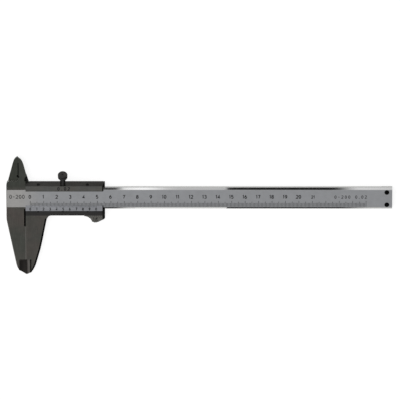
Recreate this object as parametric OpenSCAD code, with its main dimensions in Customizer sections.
// Vernier caliper with outside jaws, inside jaws, depth rod, gib and lock screw.
// Millimetres. Drawn lying on its back cover with the graduated face up (+Z).
// Drawing coordinates: X = 0 is the closed outside-jaw plane, Y = 0 the beam's centre line.

/* [Beam] */
// Travel that the scale can measure
scale_range = 200; // [150:50:300]
// Width of the beam across the graduated face
beam_w = 16.5; // [12:0.5:20]
// Thickness of the beam
beam_t = 4; // [3:0.1:5]
// Width of the polished chamfers along the graduated face
beam_chamfer = 1.5; // [0.5:0.1:2]
// Length of beam past the outside-jaw plane beyond the range
beam_tail = 73; // [60:1:90]
// Width of the groove for the depth rod
groove_w = 3.2; // [2.4:0.1:4]
// Depth of the groove for the depth rod
groove_d = 1.8; // [1.2:0.1:2.4]

/* [Jaws] */
// Length of the head to the left of the outside-jaw plane
head_l = 14.3; // [10:0.1:18]
// Distance of the lower jaw tips from the centre line
jaw_reach = 59.7; // [40:0.1:70]
// Distance of the upper blade tips from the centre line
blade_reach = 32.2; // [26:0.1:40]
// How far the jaw faces sit under the satin face of the beam
jaw_step = 0.25; // [0:0.05:0.5]
// Gap left between the closed outside jaws
jaw_gap = 0.02; // [0.01:0.01:0.1]
// Distance of the inside-measuring plane from the outside-jaw plane
blade_plane = 5.7; // [4:0.1:8]
// Height of the thinned measuring tips of the lower jaws
tip_h = 11; // [6:0.5:16]

/* [Slider] */
// Length of the slider along the beam
slider_l = 59.1; // [50:0.1:70]
// Running gap between slider and beam
run_gap = 0.1; // [0.05:0.01:0.2]
// Thickness of the slider's front lip
lip_t = 1.8; // [1.2:0.1:2.5]
// Angle of the screw bevel's normal above the edge of the slider
screw_tilt = 35; // [20:1:50]
// Thickness of the slider's back wall
wall_t = 0.8; // [0.6:0.1:1.4]
// Thickness of the back cover
cover_t = 0.8; // [0.6:0.1:1.4]
// Thickness of the gib strip
gib_t = 0.9; // [0.6:0.1:1.4]
// Size of the bevel on the slider's free end
end_bevel = 2; // [0.5:0.1:2.5]
// Thickness of the vernier plate where it is thickest
plate_t = 1; // [0.8:0.1:1.5]
// Number of serrations on the thumb rest
serrations = 9; // [5:1:14]

/* [Lock screw] */
// Diameter of the knurled head
knob_d = 7.2; // [5:0.1:9]
// Height of the knurled head
knob_h = 3.4; // [2:0.1:5]
// Distance of the head's face from the slider's bevel
knob_reach = 12.4; // [8:0.1:14]
// Diameter of the threaded shank
shank_d = 2.9; // [2:0.1:4]
// Number of knurl grooves
knurls = 22; // [12:1:36]

/* [Hidden] */
$fn = 64;
zw = cover_t + wall_t;           // inside of the slider's back wall
zb = zw + run_gap;               // back of the beam
zf = zb + beam_t;                // graduated face
zj = zf - jaw_step;              // front of the jaws
zc = zf + run_gap;               // inside of the slider's lip
zl = zc + lip_t;                 // outside of the slider's lip
hw = beam_w / 2;
x_end = scale_range + beam_tail;
rail_top = 12;                   // top edge of the slider
rail_low = -13.3;                // bottom edge of the slider
lip_edge = 10.2;                 // where the lip turns into the bevel
gib_y = hw + 0.05;
chan_top = gib_y + gib_t + 0.15;
bevel_z = (rail_top - lip_edge) / tan(screw_tilt);
bevel_mid = [(rail_top + lip_edge) / 2, zl - bevel_z / 2];
lock_x = 27.85;
gib_screw_x = [9.6, 46.1];
cover_screws = [[4.2, 10.55], [53, 10.55], [4.2, -10.6], [53, -10.6]];
stop_x = [x_end - 8, x_end];
stop_screw_y = [4.8, -4.8];
rivet_x = [7, 18];
pin_x = [9.3, 27.9, 46.1];
pin_d = 1.2;
seat = -2.68;                    // where a screw's tip bears in the gib
blade_mid = (zb + zj) / 2;       // the two upper blades share the thickness here
plate_y = [-5.4, -11];

// Moves the drawing coordinates so that the origin is the middle of the footprint.
module placed() {
  translate([-(x_end - head_l) / 2, (jaw_reach - blade_reach) / 2, 0]) children();
}

// Extrudes a (Y, Z) outline along X.
module along_x(x0, x1) {
  translate([x0, 0, 0]) rotate([90, 0, 90]) linear_extrude(x1 - x0) children();
}

// Extrudes an (X, Y) outline between two heights.
module slab(z0, z1) {
  translate([0, 0, z0]) linear_extrude(z1 - z0) children();
}

// Puts +Z along the axis of a screw in the bevel, zero on the bevel's face.
module on_bevel(x) {
  translate([x, bevel_mid[0], bevel_mid[1]]) rotate([screw_tilt - 90, 0, 0]) children();
}

// A vertical hole or pin between two heights.
module post(x, y, z0, z1, d) {
  translate([x, y, z0]) cylinder(h = z1 - z0, d = d);
}

// A 45-degree chamfer tool on the front edge of a wall from p to q, the solid on its left.
module front_chamfer(p, q, c, z) {
  run = sqrt(pow(q[0] - p[0], 2) + pow(q[1] - p[1], 2));
  translate([p[0], p[1], z]) rotate([0, 0, atan2(q[1] - p[1], q[0] - p[0])])
    translate([-1, 0, 0]) rotate([90, 0, 90]) linear_extrude(run + 2)
      polygon([[c + 0.3, 0.3], [-0.3, 0.3], [-0.3, -c - 0.3]]);
}

// The hollow grind on one face of a jaw tip: starts w from the measuring plane and is d deep there.
module hollow(w, d, r, side, z, up) {
  run = sqrt(w * w + d * d);
  reach = sqrt(r * r - run * run / 4);
  cx = side * (w / 2 - reach * d / run);
  cz = up * (reach * w / run - d / 2);
  intersection() {
    translate([cx, -jaw_reach - 2, z + cz]) rotate([-90, 0, 0]) cylinder(h = tip_h + 2, r = r);
    translate([side > 0 ? -1 : -w - 1, -jaw_reach - 3, z - 4]) cube([w + 2, tip_h + 5, 8]);
  }
}

// ---------------------------------------------------------------- fixed side

module head_outline() {
  polygon([
    [0, -jaw_reach], [-0.3, -jaw_reach + 0.2], [-1.9, -58.4], [-3, -57.6], [-5, -56.4],
    [-6.3, -54], [-7.1, -51.7], [-13.9, -18.6], [-head_l, -15.3], [-head_l, 10.2], [-13.9, 12],
    [-13.2, 13.4], [0, 13.4]
  ]);
}

module front_blade_outline() {
  polygon([
    [-blade_plane, 12], [-0.7, 12], [-0.7, 15.9], [0.1, 16.9], [1, 17.2], [0.6, 18.5],
    [-0.45, 22.4], [-1.5, 26.5], [-2.5, 29.1], [-3.6, 30.6], [-blade_plane + 0.4, blade_reach - 0.3],
    [-blade_plane, blade_reach]
  ]);
}

module rear_blade_outline() {
  polygon([
    [-blade_plane, blade_reach], [-6.3, 31.8], [-7.5, 30.9], [-8.6, 29.3], [-9.3, 27.2],
    [-12.95, 13.46], [0.04, 13.46], [0.04, 11], [3.6, 11], [2.5, 12.6], [1.7, 14.8], [0.8, 18],
    [-blade_plane, 18]
  ]);
}

module main_beam() {
  color("Silver") difference() {
    union() {
      along_x(-1, x_end) polygon([
        [-hw, zb], [hw, zb], [hw, zf - beam_chamfer], [hw - beam_chamfer, zf],
        [-hw + beam_chamfer, zf], [-hw, zf - beam_chamfer]
      ]);
      slab(zb, zj) head_outline();
      slab(blade_mid + 0.05, zj) front_blade_outline();
      along_x(-head_l, 0) polygon([
        [-hw + beam_chamfer, zb + 1], [hw - beam_chamfer, zb + 1], [hw - beam_chamfer, zf],
        [-hw + beam_chamfer, zf]
      ]);
    }
    // depth-rod groove along the back
    translate([2, -groove_w / 2, zb - 1]) cube([x_end, groove_w, groove_d + 1]);
    // dirt relief beside the measuring face, closed at the back
    translate([-1.2, -21.8, zb + 0.8]) cube([2, 21.8 - hw, beam_t]);
    // hollow ground tip
    hollow(5.2, 1.4, 8, -1, zj, 1);
    hollow(5.2, 1.25, 8, -1, zb, -1);
    // ground edges of the jaw and the head
    front_chamfer([-13.9, -18.6], [-7.1, -51.7], 0.5, zj);
    front_chamfer([-head_l, 9], [-head_l, -14], 0.3, zj);
    // relief at the root of the blade and its thinned measuring edge
    post(-blade_plane, 17, blade_mid, zj + 1, 2);
    translate([-blade_plane, 17, zj]) rotate([0, 45, 0])
      translate([-0.5, 0, -0.5]) cube([1, 10.8, 1]);
    front_chamfer([0.6, 18.5], [-2.5, 29.1], 0.3, zj);
    // holes of the end stop
    for (y = stop_screw_y) {
      post(stop_x[0] + 4, y, zb - 1, zf + 1, 2.04);
      post(stop_x[0] + 4, y, zf - 1.5, zf + 1, 3.6);
    }
  }
}

module end_stop_plate() {
  color("Gainsboro") difference() {
    slab(0, zb) translate([stop_x[0], -hw + 0.5]) square([8, beam_w - 1]);
    translate([stop_x[0] - 1, -groove_w / 2 - 0.05, zb - 0.25]) cube([10, groove_w + 0.1, 1]);
    for (y = stop_screw_y) post(stop_x[0] + 4, y, 0.35, zb + 1, 2.04);
  }
}

module end_stop_screw(y) {
  color("DimGray") difference() {
    union() {
      post(stop_x[0] + 4, y, 0.4, zf - 1, 2);
      post(stop_x[0] + 4, y, zf - 1.5, zf - 0.45, 3.5);
    }
    translate([stop_x[0] + 4, y, zf - 1.05]) cylinder(h = 1, d = 1.5, $fn = 6);
  }
}

// ---------------------------------------------------------------- slider

jaw_edge = [[5.2, -56.6], [6.6, -54], [7.5, -51.7], [10.9, -39.9], [12.6, -32], [15.6, -16.8]];

module slider_jaw_outline() {
  polygon(concat(
    [[jaw_gap, rail_low + 1], [jaw_gap, -jaw_reach], [1, -jaw_reach], [2.1, -59.1], [3.8, -58.1]],
    jaw_edge,
    [[16.2, -15.1], [17.2, -13.8], [19, rail_low], [19, rail_low + 1]]
  ));
}

module thumb_outline() {
  difference() {
    polygon([
      [43.7, rail_low + 1], [43.7, -13.9], [slider_l - 9.2, -19.1], [slider_l - 7.3, -19.8],
      [slider_l - 5.4, -19.2], [slider_l, -15.9], [slider_l, rail_low + 1]
    ]);
    translate([43.9, -19.3]) circle(r = 5.4);
  }
}

// Bore of a bevel screw in the slider.
module bevel_bore(x, d) {
  on_bevel(x) translate([0, 0, -4]) cylinder(h = 8, d = d);
}

// Bevel across the free end of the slider, twice as deep as it is wide.
module end_cut() {
  translate([slider_l, -25, zl - 2 * end_bevel]) rotate([0, -atan(0.5), 0]) cube([5, 50, 8]);
}

module slider_body() {
  color("Gray") difference() {
    union() {
      // upper rail with its lip and screw bevel, back wall, lower rail with the plate's ledge
      along_x(jaw_gap, slider_l) polygon([
        [rail_top, cover_t], [rail_top, zl - bevel_z], [lip_edge, zl], [6.4, zl], [6, zl - 0.4],
        [6, zc], [chan_top, zc], [chan_top, zw], [-hw - run_gap, zw], [-hw - run_gap, zc],
        [plate_y[1] - 0.02, zc], [plate_y[1] - 0.02, zc + 0.33], [rail_low, zj + 0.12],
        [rail_low, cover_t]
      ]);
      slab(zb, zj) slider_jaw_outline();
      slab(zb + 0.3, zj) thumb_outline();
      slab(zb, blade_mid - 0.05) rear_blade_outline();
    }
    hollow(4.2, 1.4, 6, 1, zj, 1);
    hollow(4.2, 1.25, 6, 1, zb, -1);
    // relief at the root of the rear blade
    post(-blade_plane, 16.9, blade_mid - 1, blade_mid + 1, 1.8);
    // ground edge of the jaw
    for (i = [0 : len(jaw_edge) - 2]) front_chamfer(jaw_edge[i], jaw_edge[i + 1], 1.4, zj);
    // sloped front and serrations of the thumb rest
    translate([40, -15.2, zj]) rotate([28, 0, 0]) translate([0, -8, 0]) cube([20, 8, 4]);
    for (i = [0 : serrations - 1])
      translate([slider_l - 7.3, -13.4, zj]) rotate([0, 0, -130 + i * 80 / (serrations - 1)]) {
        translate([6.4, 0, -9]) cylinder(h = 9, d = 0.62);
        translate([1.6, 0, 0.1]) rotate([0, 118, 0]) cylinder(h = 8, d = 0.5);
      }
    end_cut();
    // bores of the screws
    bevel_bore(lock_x, shank_d + 0.1);
    for (x = gib_screw_x) bevel_bore(x, 2.44);
    for (p = cover_screws) post(p[0], p[1], 0, 4.4, 1.24);
    for (x = rivet_x) {
      post(x, 0, 0, 2, 1.62);
      translate([x, 0, cover_t - 0.05]) cylinder(h = 0.45, d1 = 2.5, d2 = 1.62);
    }
    for (x = pin_x) post(x, -9.95, zc - 1.6, zc + 2, pin_d + 0.02);
  }
}

module vernier_plate() {
  color("WhiteSmoke") difference() {
    along_x(jaw_gap, slider_l) polygon([
      [plate_y[0], zc], [plate_y[0], zc + 0.15], [-9.4, zc + plate_t],
      [plate_y[1], zc + 0.35], [plate_y[1], zc]
    ]);
    end_cut();
    for (x = pin_x) post(x, -9.95, zc - 1, zc + 2, pin_d + 0.02);
  }
}

module vernier_pin(x) {
  color("DimGray") post(x, -9.95, zc - 1.5, zc + 0.6, pin_d);
}

module gib_strip() {
  color("Peru") difference() {
    translate([3.2, gib_y, zb + 0.2]) cube([slider_l - 6.4, gib_t, beam_t - 0.4]);
    for (x = [gib_screw_x[0], lock_x, gib_screw_x[1]])
      on_bevel(x) translate([0, 0, seat]) cylinder(h = 4, d = 1.5);
  }
}

module gib_screw(x) {
  color("DarkSlateGray") on_bevel(x) difference() {
    union() {
      translate([0, 0, -1.45]) cylinder(h = 1.3, d = 2.4);
      translate([0, 0, seat]) cylinder(h = -seat - 1, d = 1.4);
    }
    translate([-2, -0.2, -0.6]) cube([4, 0.4, 1]);
  }
}

module back_cover() {
  color("Gray") difference() {
    slab(0, cover_t) polygon([
      [1.2, -12.3], [slider_l - 1.2, -12.3], [slider_l - 0.4, -11.5], [slider_l - 0.4, 11.1],
      [slider_l - 1.2, 11.9], [1.2, 11.9], [0.4, 11.1], [0.4, -11.5]
    ]);
    for (p = cover_screws) {
      post(p[0], p[1], -1, 3, 1.24);
      translate([p[0], p[1], -0.1]) cylinder(h = 0.75, d1 = 2.7, d2 = 1.24);
    }
  }
}

module back_cover_screw(p) {
  color("DimGray") difference() {
    union() {
      post(p[0], p[1], 0.5, 4.3, 1.2);
      translate([p[0], p[1], 0.08]) cylinder(h = 0.55, d1 = 2.3, d2 = 1.2);
    }
    translate([p[0] - 2, p[1] - 0.17, -1]) cube([4, 0.34, 1.35]);
  }
}

module depth_rod() {
  color("LightGray") difference() {
    translate([3.2, -1.5, zw]) cube([x_end - 3.2, 3, 1.7]);
    // narrowed tip
    translate([x_end - 6, 0.4, 0]) cube([7, 3, 9]);
    translate([x_end - 6, 0.4, 0]) rotate([0, 0, 45]) cube([3, 3, 9]);
    for (x = rivet_x) post(x, 0, 0, 9, 1.62);
  }
}

module depth_rod_rivet(x) {
  color("DimGray") {
    post(x, 0, cover_t + 0.2, zw + 1.65, 1.6);
    translate([x, 0, cover_t + 0.03]) cylinder(h = 0.35, d1 = 2.3, d2 = 1.6);
  }
}

// ---------------------------------------------------------------- lock

module lock_pad() {
  color("Goldenrod") on_bevel(lock_x) {
    translate([0, 0, -1.32]) cylinder(h = 0.3, d = 2.8);
    translate([0, 0, seat]) cylinder(h = -seat - 1.2, d = 1.4);
  }
}

module lock_screw() {
  color("DimGray") on_bevel(lock_x) difference() {
    union() {
      translate([0, 0, -1]) cylinder(h = 3, d = shank_d);
      translate([0, 0, 0.3]) cylinder(h = 0.5, d1 = 3.2, d2 = 4);
      translate([0, 0, 0.8]) cylinder(h = knob_reach - knob_h - 0.4, d = 4);
      translate([0, 0, knob_reach - knob_h]) cylinder(h = 0.4, d1 = knob_d - 0.8, d2 = knob_d);
      translate([0, 0, knob_reach - knob_h + 0.4]) cylinder(h = knob_h - 0.9, d = knob_d);
      translate([0, 0, knob_reach - 0.5]) cylinder(h = 0.5, d1 = knob_d, d2 = knob_d - 1);
    }
    for (i = [0 : knurls - 1]) rotate([0, 0, i * 360 / knurls])
      translate([knob_d / 2 + 0.12, 0, knob_reach - knob_h - 1])
        cylinder(h = knob_h + 2, d = 0.6, $fn = 4);
    translate([0, 0, knob_reach - 0.5]) cylinder(h = 0.6, d1 = 0.6, d2 = 1.8);
  }
}

placed() {
  main_beam();
  end_stop_plate();
  end_stop_screw(stop_screw_y[0]);  // end_stop_screw_upper
  end_stop_screw(stop_screw_y[1]);  // end_stop_screw_lower
  slider_body();
  vernier_plate();
  vernier_pin(pin_x[0]);  // vernier_pin_1
  vernier_pin(pin_x[1]);  // vernier_pin_2
  vernier_pin(pin_x[2]);  // vernier_pin_3
  gib_strip();
  gib_screw(gib_screw_x[0]);  // gib_screw_left
  gib_screw(gib_screw_x[1]);  // gib_screw_right
  back_cover();
  back_cover_screw(cover_screws[0]);  // back_cover_screw_1
  back_cover_screw(cover_screws[1]);  // back_cover_screw_2
  back_cover_screw(cover_screws[2]);  // back_cover_screw_3
  back_cover_screw(cover_screws[3]);  // back_cover_screw_4
  depth_rod();
  depth_rod_rivet(rivet_x[0]);  // depth_rod_rivet_1
  depth_rod_rivet(rivet_x[1]);  // depth_rod_rivet_2
  lock_pad();
  lock_screw();
}
